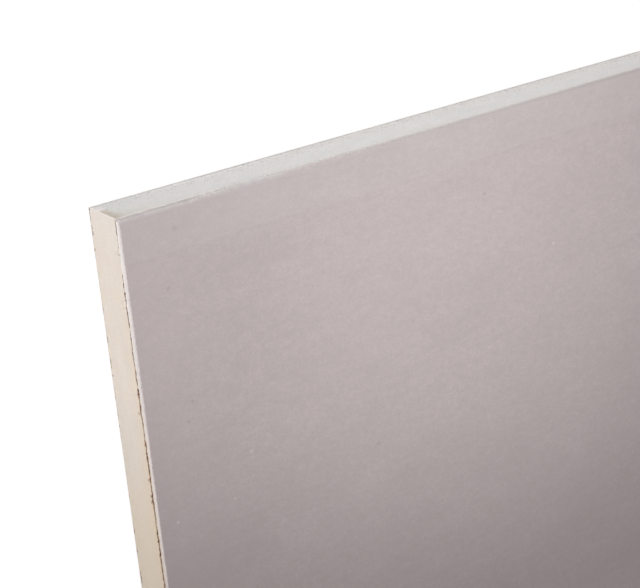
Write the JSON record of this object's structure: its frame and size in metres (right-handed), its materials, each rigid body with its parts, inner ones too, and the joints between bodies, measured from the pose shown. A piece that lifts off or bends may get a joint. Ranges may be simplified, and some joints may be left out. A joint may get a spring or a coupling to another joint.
{
  "type": "drywall sheet",
  "caption": "Square-edge gypsum board lying flat with its back up: a gypsum core, an ivory face paper folded round the long edges, and a grey back paper, with sawn ends.",
  "frame": {"origin": "the middle of the face that the board lies on", "axes": "+X along the length, +Y across the width, +Z out of the grey back paper"},
  "size_m": [2.4, 1.2, 0.0125],
  "materials": {
    "gypsum": "matt",
    "ivory_paper": "matt",
    "grey_paper": "matt"
  },
  "bodies": {
    "root": {"gypsum_core": "gypsum", "face_paper": "ivory_paper", "back_paper": "grey_paper"}
  },
  "joints": []
}
